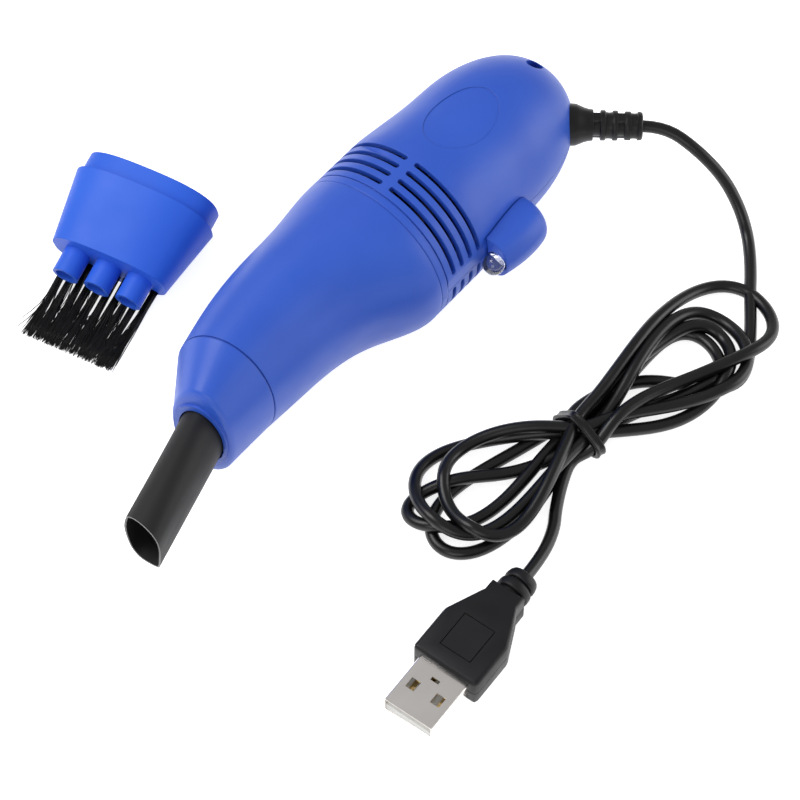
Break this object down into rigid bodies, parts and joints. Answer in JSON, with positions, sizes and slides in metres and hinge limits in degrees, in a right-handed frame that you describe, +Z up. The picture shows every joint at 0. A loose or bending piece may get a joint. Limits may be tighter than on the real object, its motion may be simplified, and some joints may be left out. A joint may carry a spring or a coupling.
{
  "type": "desktop mini vacuum cleaner",
  "caption": "Palm-size dust vacuum with a curved dust cup, bent nose, short suction tube, side thumb slide with lamp, tied lead with plug, and a loose brush head.",
  "frame": {"origin": "centre of the footprint of the machine and its brush head, on the surface they lie on", "axes": "+X along the motor axis from the nozzle to the tail, +Y towards the brush head, +Z up"},
  "size_m": [0.157, 0.1484, 0.0388],
  "materials": {
    "blue_shell": "satin",
    "black_tube": "satin",
    "black_plastic": "matte",
    "white_plastic": "matte",
    "filter_cloth": "matte",
    "screw_steel": "satin",
    "can_steel": "satin",
    "brass_contact": "satin",
    "board_green": "satin",
    "clear_lamp": "gloss",
    "resistor_body": "matte",
    "wire_red": "gloss",
    "black_rubber": "satin",
    "plug_metal": "satin",
    "black_bristle": "satin"
  },
  "bodies": {
    "housing": {"upper_housing_shell": "blue_shell", "lower_housing_shell": "blue_shell", "housing_screw": "screw_steel", "filter_frame": "black_plastic", "filter_cloth": "filter_cloth", "fan_inlet_plate": "black_plastic", "motor_plate": "black_plastic", "motor_screws": "screw_steel", "motor_can": "can_steel", "motor_end_bell": "black_plastic", "motor_terminals": "brass_contact", "switch_body": "can_steel", "switch_board": "board_green", "led_lamp": "clear_lamp", "led_holder": "blue_shell", "led_leads": "screw_steel", "lamp_resistor": "resistor_body", "motor_wires": "wire_red", "inner_lead": "black_rubber", "cord_boot": "black_rubber", "cord_lead_out": "black_rubber", "cord_hank": "black_rubber", "cord_tie": "black_rubber", "cord_lead_plug": "black_rubber", "plug_overmould": "black_rubber", "plug_shell": "plug_metal", "plug_tongue": "white_plastic", "plug_contacts": "brass_contact"},
    "rotor": {"motor_shaft": "can_steel", "impeller": "black_plastic"},
    "slide": {"thumb_slide": "blue_shell", "switch_lever": "black_plastic"},
    "cup": {"dust_cup": "blue_shell"},
    "nose": {"nose_cap": "blue_shell"},
    "nozzle": {"nozzle_tube": "black_tube"},
    "brush": {"brush_body": "blue_shell", "brush_tufts": "black_bristle"}
  },
  "joints": [
    {"name": "switch_slide", "type": "slide", "parent": "housing", "child": "slide", "axis": [1, 0, 0], "range_m": [0, 0.0025]},
    {"name": "rotor_spin", "type": "hinge", "parent": "housing", "child": "rotor", "pos_m": [0.0227, -0.02115, 0.0194], "axis": [1, 0, 0], "continuous": true},
    {"name": "cup_pull", "type": "slide", "parent": "housing", "child": "cup", "axis": [-1, 0, 0], "range_m": [0, 0.03]},
    {"name": "nose_pull", "type": "slide", "parent": "cup", "child": "nose", "axis": [-0.9744, -0.225, 0], "range_m": [0, 0.02]},
    {"name": "tube_pull", "type": "slide", "parent": "nose", "child": "nozzle", "axis": [-0.9553, -0.2957, 0], "range_m": [0, 0.02]},
    {"name": "brush_lift", "type": "slide", "parent": "housing", "child": "brush", "axis": [0, 0, 1], "range_m": [0, 0.05]}
  ]
}
